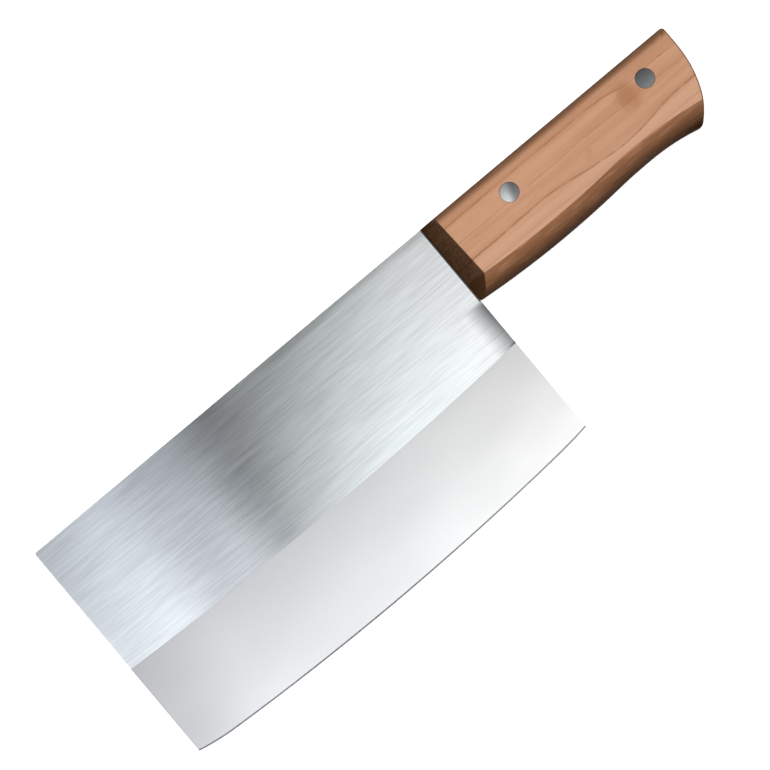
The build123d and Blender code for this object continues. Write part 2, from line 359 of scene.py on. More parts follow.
handle = {
    "swell": (0.3, 1.9),                  # share of the length, and drop below the front corner
    "swellEnd": (0.565, 1.1),
    "waist": (0.72, 0.65),
    "hook": (11.2, 3.3),                  # set in from the butt, drop
    "hookRadius": 3.0,
    "straight": 8.0,                      # of the butt, down from the back
    "knee": (2.7, 9.2),                   # set in, and rise above the front corner
    "backRadius": 1.2,
    "frontRadius": 0.8,
    "bellyBevel": (7.5, 6.5, 30.0),       # width, depth and radius of the slope
    "bellyBevelFall": 4.2,                # of its upper edge, from front to butt
    "backBevel": (1.9, 3.9, 20.0),
    "frontBevel": (6.0, 7.05, 50.0),      # reach at the back and at the belly, angle
    "underFlat": 1.5,                     # half of the flat under the belly
    "underRadius": 4.0,
    "underLean": 8.0,
    "underTurn": 20.0,
    "buttEasing": 0.5,
    "softness": 0.22,                     # of the arrises between the bevels
    "frontRings": 46,                     # rings of the mesh along the front bevel
    "bodyRings": ((0, 0.03, 0.83, 1), (10, 120, 1)),      # shares along the rest, and steps between them
    "buttRings": 80,
    "rows": (13, 41, 7, 40, 9),           # across the back bevel, flat, arris, belly bevel and half a wall
    "arrisRows": (0.3, 0.6, 0.7),         # these start above the arris, reach down, and stay off the bottom
}


# the hook's point, before it is rounded
def hookPlace():
    setIn, drop = handle["hook"]
    return handleLength - setIn, -frontHeight - drop


# the belly's three arcs, each tangent to the last: swell, waist and flare
def bellyArcs():
    corner = (0.0, -frontHeight)
    places = handle["swell"], handle["swellEnd"], handle["waist"]
    swell, swellEnd, waist = [(handleLength * share, -frontHeight - drop) for share, drop in places]
    hook = hookPlace()
    first = circleThrough(corner, swell, swellEnd)
    second = circleFrom(swellEnd, tangentAt(first[0], swellEnd), waist)
    third = circleFrom(waist, tangentAt(second[0], waist), hook)
    ends = swellEnd[0], waist[0], hook[0]
    return [(end, *circle, np.sign(start[1] - circle[0][1])) for end, circle, start in
            zip(ends, (first, second, third), (corner, swellEnd, waist))]


# the butt's two arcs: the knee leaves the straight end, and the tail runs from it to the hook
def buttArcs():
    setIn, rise = handle["knee"]
    start = (handleLength, -handle["straight"])
    knee = (handleLength - setIn, rise - frontHeight)
    upper = circleFrom(start, (0, -1), knee)
    radial = np.array(knee) - upper[0]
    direction = np.array([radial[1], -radial[0]])
    lower = circleFrom(knee, direction, hookPlace())
    return start, knee, upper, lower


# where two circles meet: along the line of their centres, then square to it, on the side of a near point
def circlesMeet(first, second, near):
    (a, ra), (b, rb) = first, second
    gap = np.hypot(*(b - a))
    along = (ra ** 2 - rb ** 2 + gap ** 2) / (2 * gap)
    direction = (b - a) / gap
    aside = math.sqrt(ra ** 2 - along ** 2) * np.array([-direction[1], direction[0]])
    found = [a + direction * along + aside, a + direction * along - aside]
    return min(found, key=lambda point: np.hypot(*(point - np.array(near))))


# the lower outline of the handle over x: front corner, swell, waist, flare, hook, tail and knee in turn
def lowerOutline():
    arcs = bellyArcs()
    start, knee, upper, lower = buttArcs()
    flare = arcs[-1]
    radius = handle["hookRadius"]
    inFlare = flare[2] + flare[3] * radius
    hookCentre = circlesMeet((flare[1], inFlare), (lower[0], lower[1] - radius), hookPlace())
    fromFlare = hookCentre + (flare[1] - hookCentre) / np.hypot(*(flare[1] - hookCentre)) * radius * flare[3]
    toTail = hookCentre + (hookCentre - lower[0]) / np.hypot(*(hookCentre - lower[0])) * radius
    small = handle["frontRadius"]
    swell = arcs[0]
    onSwell = arcHeight(np.array(small), *swell[1:])
    pieces = [(small, np.array([small, onSwell + small]), small, -1), *arcs[:2]]
    pieces += [(fromFlare[0], *flare[1:]), (toTail[0], hookCentre, radius, -1)]
    pieces += [(knee[0], *lower, -1), (handleLength, *upper, -1)]
    return pieces


outlineArcs = lowerOutline()


# height of the lower outline over x: that of the arc in whose stretch x lies
def lowerY(x):
    heights = [arcHeight(x, *arc) for end, *arc in outlineArcs]
    return np.select([x <= end for end, *arc in outlineArcs], heights, -handle["straight"])


# the belly alone, led on straight past the hook
def bellyY(x):
    arcs = bellyArcs()
    end, centre, radius, side = arcs[-1]
    last = np.array([end, arcHeight(np.array(end), centre, radius, side)])
    along = tangentAt(centre, last)
    onward = last[1] + (x - end) * along[1] / along[0]
    return np.select([x <= arc[0] for arc in arcs], [arcHeight(x, *arc[1:]) for arc in arcs], onward)


# the upper outline: level, with a small arc down into the butt
def upperY(x):
    radius = handle["backRadius"]
    return -roundDrop(x - handleLength + radius, radius)


# the belly bevel's upper edge: the swell raised by the bevel's width, then an arc to the butt
def bevelEdge(x):
    width = handle["bellyBevel"][0]
    end, centre, radius, side = bellyArcs()[0]
    raised = centre + np.array([0, width])
    start = (end, arcHeight(np.array(end), raised, radius, side))
    target = (handleLength, -frontHeight + width - handle["bellyBevelFall"])
    tail = circleFrom(start, tangentAt(raised, start), target)
    tailSide = np.sign(start[1] - tail[0][1])
    return np.where(x < end, arcHeight(x, raised, radius, side), arcHeight(x, *tail, tailSide))


# drop of a bulging slope at a distance past its upper edge: an arc through (0, 0) and (width, -depth)
def slopeDrop(distance, width, depth, radius):
    dip = math.atan2(depth, width) - math.asin(math.hypot(width, depth) / 2 / radius)
    along, down = -radius * math.sin(dip), -radius * math.cos(dip)
    inside = np.maximum(radius ** 2 - (distance - along) ** 2, 0)
    return np.where(distance > 0, down + np.sqrt(inside), -distance * math.tan(dip))


# the rounding under the belly: height over the distance in from the outline, an arc and then a straight slope
def underRounding(distance):
    radius, lean = handle["underRadius"], math.radians(handle["underLean"])
    end = lean + math.radians(handle["underTurn"])
    centre = np.array([-radius * math.cos(lean), handle["underFlat"] - radius * math.sin(lean)])
    turn = radius * (math.cos(lean) - math.cos(end))
    arc = centre[1] + np.sqrt(np.maximum(radius ** 2 - (-distance - centre[0]) ** 2, 0))
    top = centre[1] + radius * math.sin(end)
    return np.where(distance < turn, arc, top + (distance - turn) / math.tan(end))


# reach of the front bevel over y: a straight line, a little deeper towards the belly
def frontReach(y):
    atBack, atBelly, angle = handle["frontBevel"]
    back = -handle["backBevel"][0]
    belly = handle["bellyBevel"][0] - frontHeight
    return atBack + (atBelly - atBack) * (y - back) / (belly - back)


# distance in from the butt's outline: its straight end, its two arcs or its corner; far away elsewhere
def buttDistance(x, y):
    start, knee, upper, lower = buttArcs()
    fromUpper = upper[1] - np.hypot(x - upper[0][0], y - upper[0][1])
    fromLower = lower[1] - np.hypot(x - lower[0][0], y - lower[0][1])
    along = np.where(y > start[1], handleLength - x, np.where(y > knee[1], fromUpper, fromLower))
    radius = handle["backRadius"]
    centre = np.array([handleLength - radius, -radius])
    corner = radius - np.hypot(np.maximum(x - centre[0], 0), np.maximum(y - centre[1], 0))
    near = np.where((x > centre[0]) & (y > centre[1]), corner, along)
    return np.where(x > hookPlace()[0] - handle["hookRadius"], near, handleLength)


# half thickness that the belly bevel leaves
def bellyHalf(x, y):
    return halfHandle + slopeDrop(bevelEdge(x) - y, *handle["bellyBevel"])


# half thickness that the front bevel leaves: it falls at the bevel's angle from its reach to the front end
def frontHalf(x, y):
    return halfHandle - (frontReach(y) - x) * math.tan(math.radians(handle["frontBevel"][2]))


# half thickness of the handle: the least of flat, bevels, rounding and eased butt, softly joined
def handleHalf(x, y):
    easing, soft = handle["buttEasing"], handle["softness"]
    eased = halfHandle - roundDrop(easing - buttDistance(x, y), easing)
    back = halfHandle + slopeDrop(y + handle["backBevel"][0], *handle["backBevel"])
    half = softMin(np.minimum(eased, halfHandle), back, soft)
    half = softMin(half, bellyHalf(x, y), soft)
    half = softMin(half, underRounding(y - bellyY(x)), soft)
    return softMin(half, frontHalf(x, y), soft)


# places along the handle: 0 to 1 on the front bevel, and 1 to 2 from there to the butt
def alongHandle(shares, reach):
    return np.where(shares < 1, shares * reach, reach + (handleLength - reach) * (shares - 1))


# the handle: rings round the wood, with their stations along the front bevel's edge and dense at the butt
def makeHandle():
    middle = steppedPlaces(*handle["bodyRings"])[1:-1]
    sweep = np.sin(np.linspace(0, math.pi / 2, handle["buttRings"]))
    butt = middle[-1] + (1 - middle[-1]) * sweep[1:]
    shares = np.concatenate([np.linspace(0, 1, handle["frontRings"]), 1 + middle, 1 + butt])[:, None]
    backRows, flatRows, arrisRows, bellyRows, wallRows = handle["rows"]
    over, under, clear = handle["arrisRows"]
    reach = frontReach(-frontHeight / 2)
    for turn in range(3):                                       # rows and reach settle on each other
        x = alongHandle(shares, reach)
        high, low = upperY(x[:, :1]), lowerY(x[:, -1:])
        crisp = np.maximum(bevelEdge(x[:, -1:]) + over, low + clear)
        backLine = np.minimum(high - handle["backBevel"][0] - over, (high + crisp) / 2)
        y = np.hstack([
            between((high, backLine), np.linspace(0, 1, backRows)),
            between((backLine, crisp), np.linspace(0, 1, flatRows)[1:]),
            crisp - under * np.linspace(0, 1, arrisRows)[1:],
            between((crisp - under, low), np.linspace(0, 1, bellyRows)[1:]),
        ])
        reach = frontReach(y)
    x = alongHandle(shares, reach)
    half = handleHalf(x, y)
    wall = np.linspace(0, 1, wallRows)[:-1]
    xHalf, yHalf = [np.pad(part, ((0, 0), (len(wall), len(wall))), mode="edge") for part in (x, y)]
    zHalf = np.hstack([half[:, :1] * wall, half, half[:, -1:] * wall[::-1]])
    parts = (xHalf, 1), (yHalf, 1), (zHalf, -1)                 # the other side mirrors z alone
    rings = [np.hstack([part, sign * part[:, -2:0:-1]]) for part, sign in parts]
    return tidySkin(skinRings("cleaverHandle", *rings), sharpDegrees=25)


rivet = {
    "headRadius": 3.5,
    "headThickness": 1.6,
    "crown": (0.25, 0.97),                # its height, and the share of the radius that it takes
    "sink": 0.05,                         # of the head's top, below the wood's face
    "rimSoftness": 0.15,
    "profilePoints": (24, 8),             # over the crown, and round the rim
    "sleeveRadii": (2.4, 1.62),           # outside and inside
    "sleeveFloor": 3.65,                  # of its blind bore, below the wood's face
    "shankRadius": 1.6,
    "shankPoint": (1.1, 0.5),             # radius and length
    "seatClearance": 0.05,
    "seatHeights": (8.35, 14.0),          # floor of the seat, and top of its cutter
    "boreRadius": 2.45,
    "boreReaches": (3.0, 9.0),            # of the cutters, in the tang and in the wood
    "colours": ((0.50, 0.51, 0.52, 1), (0.64, 0.65, 0.66, 1)),
    "scratches": ((1.1, 7.0, 1), 4, 0.7, (3, 3, 3)),      # cycles per millimetre, detail, roughness, shift
    "wear": ((0.8, 0.8, 1), 3, 0.6, (2, 5, 1)),
    "roughness": (0.18, 0.03),            # and how far the scratches sway it
    "relief": (0.04, 0.00002),            # strength, and height in metres
}


# a turned piece: the profile of radius and height carried round the axis
def turnProfile(name, profile, centre, steps=96):
    profile = np.array(profile, float)
    angle = np.linspace(0, 2 * math.pi, steps, endpoint=False)[:, None]
    x = centre[0] + np.cos(angle) * profile[:, 0]
    y = centre[1] + np.sin(angle) * profile[:, 0]
    z = np.broadcast_to(profile[:, 1], x.shape)
    faces = gridQuads(steps, len(profile), steps, len(profile) - 1)
    return tidySkin(addPiece(name, np.stack([x, y, z], -1), faces), sharpDegrees=25)


print("cleaver: shapes ready")


# a fresh material with its node tree and its shader at hand
def newMaterial(name):
    material = bpy.data.materials.new(name)
    material.use_nodes = True
    return material, material.node_tree, material.node_tree.nodes["Principled BSDF"]


# adds a node, sets its properties and inputs, and links any input given as a socket
def addNode(tree, kind, inputs=(), **settings):
    node = tree.nodes.new(kind)
    for key, value in settings.items():
        setattr(node, key, value)
    for key, value in dict(inputs).items():
        if isinstance(value, bpy.types.NodeSocket):
            tree.links.new(value, node.inputs[key])
        else:
            node.inputs[key].default_value = value
    return node


# arithmetic between sockets and numbers
def mathNode(tree, operation, first, second=0.0, third=0.0, clamp=False):
    inputs = {0: first, 1: second, 2: third}
    return addNode(tree, "ShaderNodeMath", inputs, operation=operation, use_clamp=clamp).outputs[0]


# the product of numbers and sockets
def product(tree, first, *others):
    for other in others:
        first = mathNode(tree, "MULTIPLY", first, other)
    return first


# an even S ramp from one output at the first value to another at the second
def rampNode(tree, value, low, high, outLow=0.0, outHigh=1.0):
    inputs = {"Value": value, "From Min": low, "From Max": high, "To Min": outLow, "To Max": outHigh}
    return addNode(tree, "ShaderNodeMapRange", inputs, interpolation_type="SMOOTHSTEP").outputs[0]


noiseRange = (0.3, 0.7)                                         # where most of a noise lies


# a value that a noise sways to both sides
def swayed(tree, noise, middle, swing):
    return rampNode(tree, noise, *noiseRange, middle - swing, middle + swing)


# one colour laid over another by a factor
def mixColour(tree, factor, first, second):
    return addNode(tree, "ShaderNodeMix", {0: factor, 6: first, 7: second}, data_type="RGBA").outputs[2]


# a colour darker or lighter by a factor
def shaded(colour, factor):
    return (*(channel * factor for channel in colour[:3]), 1)


# a place scaled and then moved
def mapped(tree, place, scale, shift):
    inputs = {"Vector": place, "Scale": scale, "Location": shift}
    return addNode(tree, "ShaderNodeMapping", inputs).outputs[0]


# object coordinates in millimetres from the heel line, the spine and the middle of the steel
def knifePlace(tree):
    where = addNode(tree, "ShaderNodeTexCoord").outputs["Object"]
    return mapped(tree, where, (metre,) * 3, tuple(-home))


# smooth random values over a place, with so many cycles per millimetre along each axis
def noiseNode(tree, place, cycles, detail, roughness, shift=(0, 0, 0)):
    drawn = mapped(tree, place, cycles, shift)
    inputs = {"Vector": drawn, "Scale": 1, "Detail": detail, "Roughness": roughness}
    return addNode(tree, "ShaderNodeTexNoise", inputs).outputs[0]


# the three coordinates of a place
def axesOf(tree, place):
    return addNode(tree, "ShaderNodeSeparateXYZ", {0: place}).outputs


# a number stored on the piece's points
def paintedNumber(tree, name):
    return addNode(tree, "ShaderNodeAttribute", attribute_name=name).outputs["Fac"]


# links the shader's colour and roughness, sets its constant values and adds its relief
def finishShader(tree, shader, colour, rough, constants, height=None, relief=None):
    tree.links.new(colour, shader.inputs["Base Color"])
    tree.links.new(rough, shader.inputs["Roughness"])
    for socket, value in constants.items():
        shader.inputs[socket].default_value = value
    if relief is not None:
        inputs = {"Height": height, "Strength": relief[0], "Distance": relief[1]}
        tree.links.new(addNode(tree, "ShaderNodeBump", inputs).outputs[0], shader.inputs["Normal"])


steel = {
    "flatColour": (0.66, 0.68, 0.68, 1),
    "streakShades": (0.88, 1.09),         # the darkest and the lightest hairline
    "hairlineCycles": (0.07, 1.5),        # per millimetre, along the blade and across it
    "hairlineLayers": (                   # shares of those cycles, shift, weight
        ((1.0, 1.0), (0, 0, 0), 0.50),
        ((0.6, 0.45), (7, 3, 1), 0.35),
        ((0.4, 0.12), (1, 9, 4), 0.15),
    ),
    "flatRoughness": (0.30, 0.015),       # and how far the hairlines sway it
    "cloud": ((0.03, 0.05, 1), 3, 0.5),   # cycles per millimetre, detail, roughness
    "cloudSway": 0.02,                    # of the roughness
    "flatAnisotropy": (0.85, 0.25),       # and its rotation
    "paintedShadeColour": (0.05, 0.052, 0.054, 1),               # painted shade in the heel's relief and along the spine
    "spineShade": ((-3.8, -0.9), (-84, -62), 0.28),       # painted shade along the spine: comes on over y and over x, strength
    "bevelColour": (0.590, 0.583, 0.580, 1),
    "grindShade": 0.97,                   # the darkest of the grinding
    "grind": ((2.2, 0.12, 1), 3, 0.6),
    "haze": ((0.03, 0.06, 1), 2, 0.4),
    "bevelRoughness": (0.50, 0.02),       # and how far the haze sways it
    "bevelAnisotropy": 0.6,
    "bevelRelief": (0.06, 0.00002),       # strength, and height in metres
    "tipShade": ((-140, -177), 0.20),     # painted shade towards the tip: comes on over x, strength
}


# the hairlines: layers of noise drawn out along the blade, of different pitch, added by their weights
def hairlines(tree, place):
    length, pitch = steel["hairlineCycles"]
    lines, layers = 0.0, []
    for (longer, wider), shift, weight in steel["hairlineLayers"]:
        layers.append(noiseNode(tree, place, (length * longer, pitch * wider, 0), 1, 0.5, shift))
        lines = mathNode(tree, "MULTIPLY_ADD", layers[-1], weight, lines)
    return lines, layers


# the tangent along the knife, from the piece's plan map
def brushTangent(tree, shader):
    tangent = addNode(tree, "ShaderNodeTangent", direction_type="UV_MAP", uv_map="plan")
    tree.links.new(tangent.outputs[0], shader.inputs["Tangent"])


# the flat: dark and light hairlines, with painted shade in the heel's relief and along the front of the spine
def brushedSteel():
    material, tree, shader = newMaterial("brushedSteel")
    place = knifePlace(tree)
    x, y, z = axesOf(tree, place)
    lines, layers = hairlines(tree, place)
    streaks = [shaded(steel["flatColour"], factor) for factor in steel["streakShades"]]
    colour = mixColour(tree, rampNode(tree, lines, *noiseRange), *streaks)
    # painted shade in the heel's relief, from the blade's "relief" number
    colour = mixColour(tree, paintedNumber(tree, "relief"), colour, steel["paintedShadeColour"])
    # painted shade along the front of the spine
    acrossBlade, alongBlade, strength = steel["spineShade"]
    paintedSpineShade = product(tree, rampNode(tree, y, *acrossBlade, 0, strength), rampNode(tree, x, *alongBlade))
    colour = mixColour(tree, paintedSpineShade, colour, steel["paintedShadeColour"])
    cloud = swayed(tree, noiseNode(tree, place, *steel["cloud"]), 0, steel["cloudSway"])
    swaying = layers[1]                                         # the middle one
    rough = mathNode(tree, "ADD", swayed(tree, swaying, *steel["flatRoughness"]), cloud)
    anisotropy, rotation = steel["flatAnisotropy"]
    constants = {"Metallic": 1, "Anisotropic": anisotropy, "Anisotropic Rotation": rotation}
    finishShader(tree, shader, colour, rough, constants)
    brushTangent(tree, shader)
    return material


# the ground bevel: fine grinding across it, a haze in its gloss, and painted shade towards the tip
def satinSteel():
    material, tree, shader = newMaterial("satinSteel")
    place = knifePlace(tree)
    grind = noiseNode(tree, place, *steel["grind"])
    colour = mixColour(tree, grind, shaded(steel["bevelColour"], steel["grindShade"]), steel["bevelColour"])
    # painted shade towards the tip, mixed towards black
    reach, strength = steel["tipShade"]
    paintedTipShade = rampNode(tree, axesOf(tree, place)[0], *reach, 0, strength)
    colour = mixColour(tree, paintedTipShade, colour, (0, 0, 0, 1))
    rough = swayed(tree, noiseNode(tree, place, *steel["haze"]), *steel["bevelRoughness"])
    constants = {"Metallic": 1, "Anisotropic": steel["bevelAnisotropy"]}
    finishShader(tree, shader, colour, rough, constants, grind, steel["bevelRelief"])
    brushTangent(tree, shader)
    return material


scratchedFinishes = {
    "honedSteel": {                       # along the cutting edge
        "noise": ((6, 0.4, 1), 3, 0.6),   # cycles per millimetre, detail, roughness
        "colours": ((0.14, 0.143, 0.148, 1), (0.27, 0.273, 0.278, 1)),
        "roughness": (0.27, 0.07),        # and how far the noise sways it
        "metallic": 1,
        "relief": (0.1, 0.00001),         # strength, and height in metres
    },
    "darkJointSteel": {                     # dark, where the handle begins
        "noise": ((1.2, 0.5, 1), 3, 0.6),
        "colours": ((0.03, 0.025, 0.02, 1), (0.10, 0.085, 0.07, 1)),
        "roughness": (0.55, 0.10),
        "metallic": 0.5,
        "relief": None,
    },
    "groundSteel": {                      # the sheet's own thickness at the spine, the tip and the heel
        "noise": ((5, 5, 0.8), 3, 0.6),
        "colours": ((0.40, 0.41, 0.42, 1), (0.58, 0.59, 0.60, 1)),
        "roughness": (0.40, 0.06),
        "metallic": 1,
        "relief": (0.15, 0.00002),
    },
}


# steel with scratches or blots: one noise sways its colour, its roughness and its relief
def scratchedSteel(name):
    finish = scratchedFinishes[name]
    material, tree, shader = newMaterial(name)
    scratches = noiseNode(tree, knifePlace(tree), *finish["noise"])
    colour = mixColour(tree, scratches, *finish["colours"])
    rough = swayed(tree, scratches, *finish["roughness"])
    finishShader(tree, shader, colour, rough, {"Metallic": finish["metallic"]}, scratches, finish["relief"])
    return material


# the rivets: fine scratches in the gloss, and a worn tone
def polishedSteel():
    material, tree, shader = newMaterial("polishedSteel")
    place = knifePlace(tree)
    scratches = noiseNode(tree, place, *rivet["scratches"])
    colour = mixColour(tree, noiseNode(tree, place, *rivet["wear"]), *rivet["colours"])
    rough = swayed(tree, scratches, *rivet["roughness"])
    finishShader(tree, shader, colour, rough, {"Metallic": 1}, scratches, rivet["relief"])
    return material


wood = {
    "paleColour": (0.630, 0.350, 0.215, 1),
    "midColour": (0.570, 0.300, 0.180, 1),
    "deepColour": (0.450, 0.210, 0.110, 1),
    "sapColour": (0.720, 0.430, 0.290, 1),
    "lineColour": (0.270, 0.110, 0.045, 1),
    "patchColour": (0.400, 0.170, 0.070, 1),
    # near black: painted shade on the belly, back and butt, and with the end grain's darker tone on the front
    # bevel
    "shadeAndEndGrainColour": (0.026, 0.009, 0.001, 1),
    # painted shade on the belly, back and butt bevels, mottled with the deep colour
    "bevelColour": (0.250, 0.098, 0.036, 1),
    "roughness": (0.48, 0.06),            # and how far the fibres sway it
    "specular": 0.02,
    "relief": (0.22, 0.00006),            # strength, and height in metres
    "reliefShares": (0.6, 0.4),           # of the fibres, and of the fine ones
    "noises": {                           # cycles per millimetre, detail, roughness, shift
        "broad": ((0.018, 0.30, 0.30), 3, 0.55, (2, 1, 5)),
        "fibre": ((0.10, 3.6, 3.6), 4, 0.65),
        "fine": ((0.35, 11, 11), 2, 0.6, (5, 2, 8)),
        "fleck": ((0.28, 2.6, 2.6), 1, 0.5, (3, 7, 1)),
        "wobble": ((0.09, 0.02, 0.02), 3, 0.5, (1, 6, 2)),
        "breaks": ((0.16, 0.05, 0.05), 3, 0.6),
        "blot": ((0.35, 0.45, 0.45), 3, 0.55, (6, 1, 3)),
        "mottle": ((0.10, 0.9, 0.9), 3, 0.5, (4, 4, 4)),
    },
    "paleRange": (0.35, 0.65),            # of the broad noise, from the middle colour to the pale one
    "tints": (                            # what it follows, where it starts and is full, strength, colour
        ("fibre", 0.52, 0.80, 0.55, "deepColour"),
        ("fine", 0.55, 0.78, 0.35, "deepColour"),
        ("fleck", 0.66, 0.80, 0.30, "lineColour"),
        ("height", -19.5, -23.0, 0.45, "sapColour"),
        ("height", -7.5, -3.0, 0.35, "deepColour"),
    ),
    "core": 0.25,                         # share of a line's width or a patch's size that is at full strength
    "growthLines": (                      # stops along the handle and depths below its back, width, strength
        (((0, 5.1), (75, 5.2), (88, 7.4), (110, 7.0)), 0.48, 0.46),
        (((0, 12.3), (31, 12.5), (70, 12.2), (110, 12.6)), 0.42, 0.26),
        (((0, 19.7), (38, 19.3), (72, 22.7), (100, 20.2), (110, 20.0)), 0.52, 0.56),
        (((0, 25.1), (30, 24.9), (60, 25.6), (110, 25.4)), 0.42, 0.20),
    ),
    "lineWobble": 1.2,
    "lineBreaks": (0.32, 0.62, 0.25, 1),  # range of the noise, and the least and most of the line left
    "lineShade": (2.8, 0.35, 0.45),       # its reach above and below the line, and its share of the strength
    "patches": (                          # place along, depth below the back, size, strength
        (84.2, 10.4, 7.0, 0.62),
        (61.0, 18.0, 2.6, 0.20),
    ),
    "patchSquash": 1.1,                   # along the handle
    "patchRaggedness": 5.0,
    "mottleRange": (0.42, 0.78),          # of the noise, from the bevels' colour to the deep one
    "bevelShadeStrength": 0.85,
    "shadeAndEndGrainSway": 0.02,
    "shadeAndEndGrainOnset": 0.08,                    # below this the painted darkening fades out
}


# depth of a growth line over x: smooth steps from each stop to the next
def lineDepth(tree, x, stops):
    depth = stops[0][1]
    for (start, before), (end, after) in zip(stops, stops[1:]):
        step = rampNode(tree, x, start, end, 0.0, after - before)
        depth = mathNode(tree, "ADD", step, depth)
    return depth


# growth lines: each is full in its core, fades to its width and breaks here and there, and a shade deepens
# towards it from above and ends just below it
def layGrowthLines(tree, colour, x, y, noises):
    wobble = wood["lineWobble"]
    deeper = mathNode(tree, "MULTIPLY_ADD", noises["wobble"], wobble, product(tree, y, -1))
    broken = rampNode(tree, noises["breaks"], *wood["lineBreaks"])
    above, below, share = wood["lineShade"]
    for stops, width, strength in wood["growthLines"]:
        line = mathNode(tree, "ADD", lineDepth(tree, x, stops), wobble / 2)
        offset = mathNode(tree, "SUBTRACT", deeper, line)
        away = mathNode(tree, "ABSOLUTE", offset)
        crisp = rampNode(tree, away, width, width * wood["core"], 0, strength)
        shade = rampNode(tree, offset, -above, 0.0, 0, share * strength)
        shade = product(tree, shade, rampNode(tree, offset, below, 0.0))
        colour = mixColour(tree, shade, colour, wood["deepColour"])
        colour = mixColour(tree, product(tree, crisp, broken), colour, wood["lineColour"])
    return colour


# darker patches: full near their place and faded out at their size, by a distance made ragged by a noise
def layPatches(tree, colour, x, y, blot):
    ragged = mathNode(tree, "MULTIPLY_ADD", blot, wood["patchRaggedness"], -wood["patchRaggedness"] / 2)
    for patchX, patchDepth, size, strength in wood["patches"]:
        across = product(tree, mathNode(tree, "SUBTRACT", x, patchX), wood["patchSquash"])
        down = mathNode(tree, "ADD", y, patchDepth)
        squares = mathNode(tree, "MULTIPLY_ADD", across, across, product(tree, down, down))
        far = mathNode(tree, "ADD", mathNode(tree, "SQRT", squares), ragged)
        faded = rampNode(tree, far, size, size * wood["core"], 0, strength)
        colour = mixColour(tree, faded, colour, wood["patchColour"])
    return colour


# pale wood with fibres, growth lines and patches, with painted shade on the bevels, and near black where it
# is painted so: painted shade, and the end grain's darker tone on the front bevel
def handleWood():
    material, tree, shader = newMaterial("handleWood")
    place = knifePlace(tree)
    x, y, z = axesOf(tree, place)
    noises = {name: noiseNode(tree, place, *settings) for name, settings in wood["noises"].items()}
    followed = {**noises, "height": y}
    pale = rampNode(tree, noises["broad"], *wood["paleRange"])
    colour = mixColour(tree, pale, wood["midColour"], wood["paleColour"])
    for source, start, full, strength, tint in wood["tints"]:
        factor = rampNode(tree, followed[source], start, full, 0, strength)
        colour = mixColour(tree, factor, colour, wood[tint])
    colour = layGrowthLines(tree, colour, x, y, noises)
    colour = layPatches(tree, colour, x, y, noises["blot"])
    bevel, shadeAndEndGrain = paintedNumber(tree, "bevel"), paintedNumber(tree, "shadeAndEndGrain")
    # painted shade on the bevels, mottled between their colour and the deep one
    mottle = rampNode(tree, noises["mottle"], *wood["mottleRange"])
    mottled = mixColour(tree, mottle, wood["bevelColour"], wood["deepColour"])
    colour = mixColour(tree, product(tree, bevel, wood["bevelShadeStrength"]), colour, mottled)
    # near black where painted: painted shade, and the end grain's darker tone on the front bevel
    shadeAndEndGrainShare = mathNode(tree, "ADD", shadeAndEndGrain, swayed(tree, noises["mottle"], 0, wood["shadeAndEndGrainSway"]), clamp=True)
    shadeAndEndGrainShare = product(tree, shadeAndEndGrainShare, rampNode(tree, shadeAndEndGrain, 0, wood["shadeAndEndGrainOnset"]))
    colour = mixColour(tree, shadeAndEndGrainShare, colour, wood["shadeAndEndGrainColour"])
    fibreShare, fineShare = wood["reliefShares"]
    fine = product(tree, noises["fine"], fineShare)
    height = mathNode(tree, "MULTIPLY_ADD", noises["fibre"], fibreShare, fine)
    rough = swayed(tree, noises["fibre"], *wood["roughness"])
    constants = {"Specular IOR Level": wood["specular"]}
    finishShader(tree, shader, colour, rough, constants, height, wood["relief"])
    return material


brushed, satin = brushedSteel(), satinSteel()
honed, darkJoint, ground = [scratchedSteel(name) for name in scratchedFinishes]
handleFinish, rivetFinish = handleWood(), polishedSteel()
print("cleaver: materials ready")


# which finish each face of the blade has: honed past the shoulder, satin on the bevel, dark by the handle,
# ground on the sheet's own thickness and brushed elsewhere
def finishBlade(piece):
    for material in (brushed, satin, honed, darkJoint, ground):
        piece.data.materials.append(material)
    onFlat, onBevel, onHone, byHandle, onWall = range(5)
    x, y, z = faceMiddles(piece).T
    normal = np.empty(len(x) * 3)
    piece.data.polygons.foreach_get("normal", normal)
    wall = np.abs(normal[2::3]) < blade["wallRise"]
    finish = np.full(len(x), onFlat, np.int32)
    finish[y < bevelDepth(x)] = onBevel
    finish[y < shoulderDepth(x) - blade["honeInset"]] = onHone
    finish[(x > -tang["frontStrip"]) & (y > -frontHeight)] = byHandle
    finish[wall & (finish < onHone)] = onWall
    piece.data.polygons.foreach_set("material_index", finish)


bladePiece = makeBlade()
finishBlade(bladePiece)
tangPiece = makeTang("cleaverTang", tangHalf, 0, -tang["frontStrip"], 0)
tangPiece.data.materials.append(darkJoint)
print("cleaver: blade and tang made")


# cuts pieces out of another, leaves no modifier behind and shades it smooth again
def cutAway(piece, cutters):
    for cutter in cutters:
        cut = piece.modifiers.new("cut", "BOOLEAN")
        cut.operation = "DIFFERENCE"
        cut.solver = "EXACT"
        cut.object = cutter
        bpy.context.view_layer.objects.active = piece
        bpy.ops.object.modifier_apply(modifier=cut.name)
        bpy.data.objects.remove(cutter)
    shadeSmooth(piece, sharpDegrees=28)


